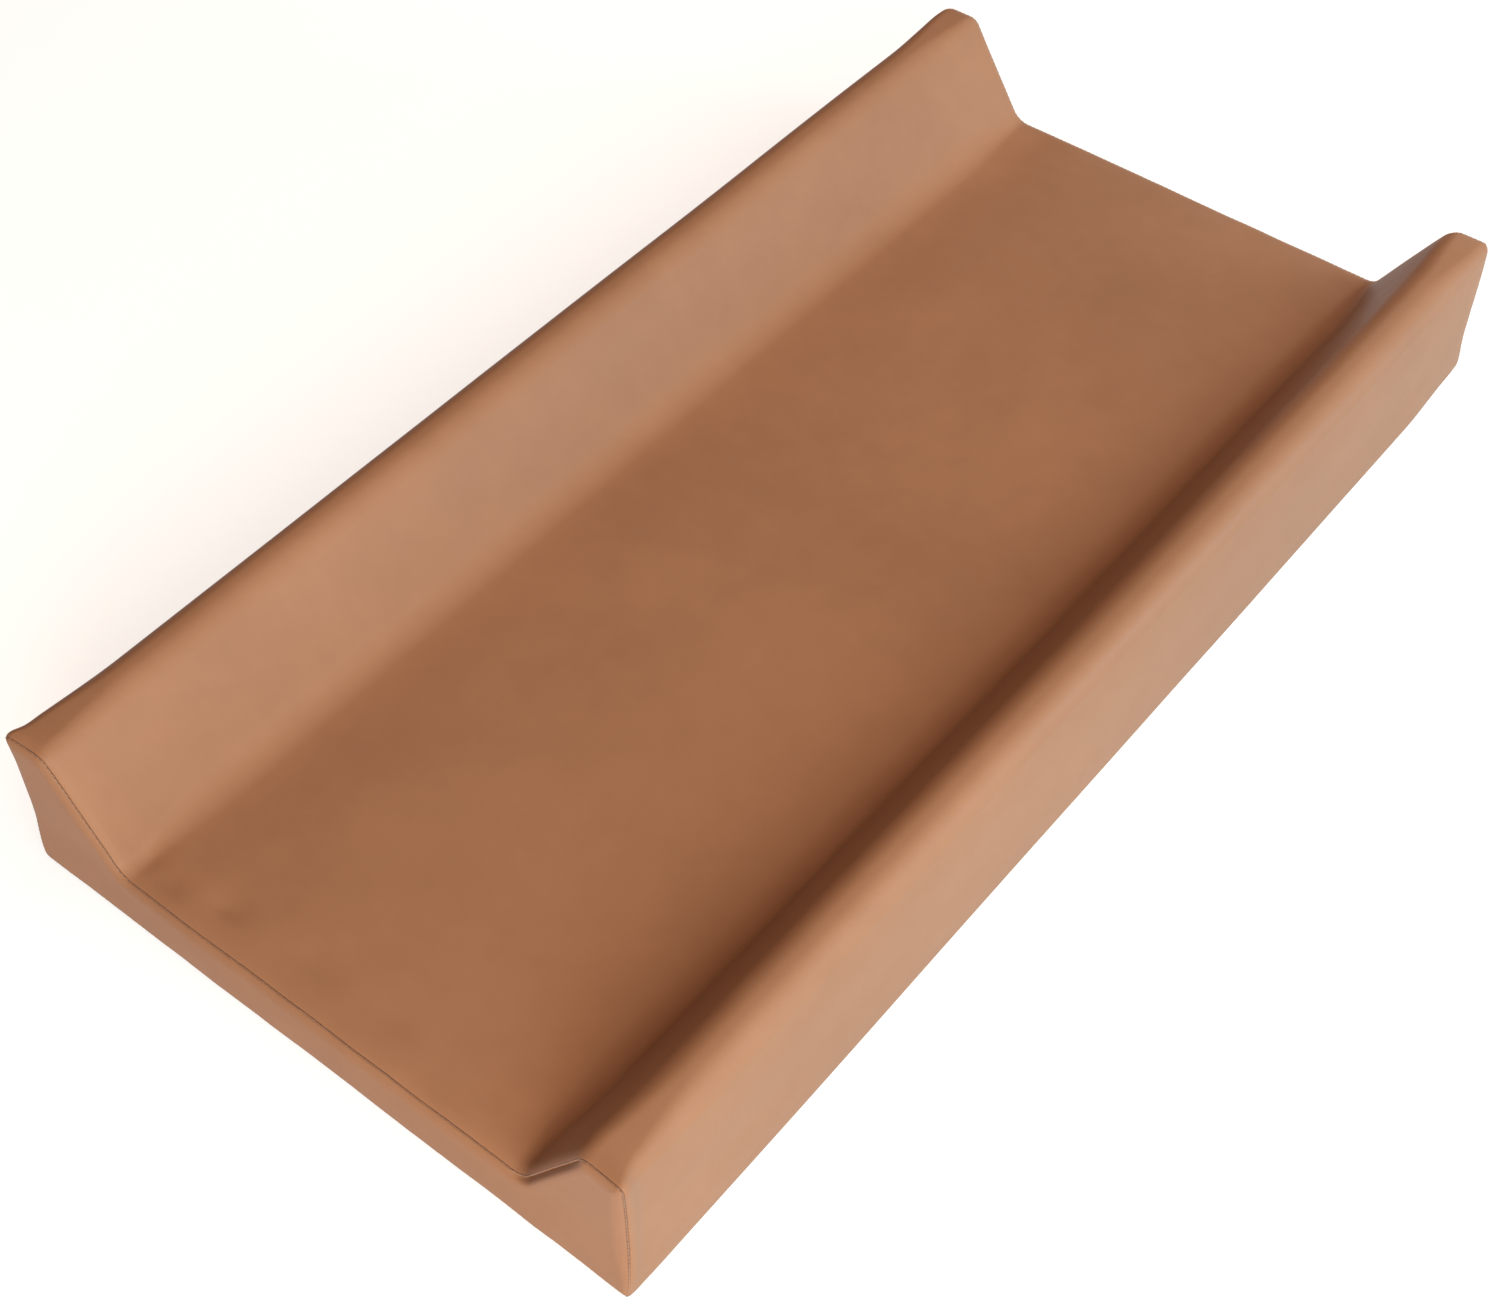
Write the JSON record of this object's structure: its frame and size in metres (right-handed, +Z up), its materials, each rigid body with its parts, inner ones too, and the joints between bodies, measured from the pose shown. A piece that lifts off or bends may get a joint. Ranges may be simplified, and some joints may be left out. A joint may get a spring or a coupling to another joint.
{
  "type": "changing pad",
  "caption": "Contoured baby changing pad: foam core with a raised bolster along each side, in a smooth brown faux-leather cover with a rear zip.",
  "frame": {"origin": "centre of the underside, on the surface the pad rests on", "axes": "+X across the pad, +Y along it from the front end to the end with the zip, +Z up"},
  "size_m": [0.4064, 0.8167, 0.1016],
  "materials": {
    "faux_leather": "satin",
    "grip_fabric": "matte",
    "foam": "matte",
    "thread": "satin",
    "zip_tape": "matte",
    "zip_coil": "satin",
    "zip_metal": "satin"
  },
  "bodies": {
    "pad": {"foam_base_slab": "foam", "foam_bolster_left": "foam", "foam_bolster_right": "foam", "top_cover": "faux_leather", "front_end_panel": "faux_leather", "rear_end_panel_upper": "faux_leather", "rear_end_panel_lower": "faux_leather", "base_panel": "grip_fabric", "front_end_seam_thread": "thread", "rear_end_seam_thread": "thread", "base_seam_thread": "thread", "zip_tape_upper": "zip_tape", "zip_tape_lower": "zip_tape", "zip_coil_upper": "zip_coil", "zip_coil_lower": "zip_coil", "zip_end_stops": "zip_metal", "zip_topstitch_upper": "thread", "zip_topstitch_lower": "thread"},
    "slider": {"zip_slider": "zip_metal"},
    "pull": {"zip_pull_tab": "zip_metal"}
  },
  "joints": [
    {"name": "zip_slide", "type": "slide", "parent": "pad", "child": "slider", "axis": [-1, 0, 0], "range_m": [0, 0.352]},
    {"name": "zip_pull_swing", "type": "hinge", "parent": "slider", "child": "pull", "pos_m": [0.176, 0.4086, 0.0185], "axis": [0, 0, -1], "range_deg": [0, 170]}
  ]
}
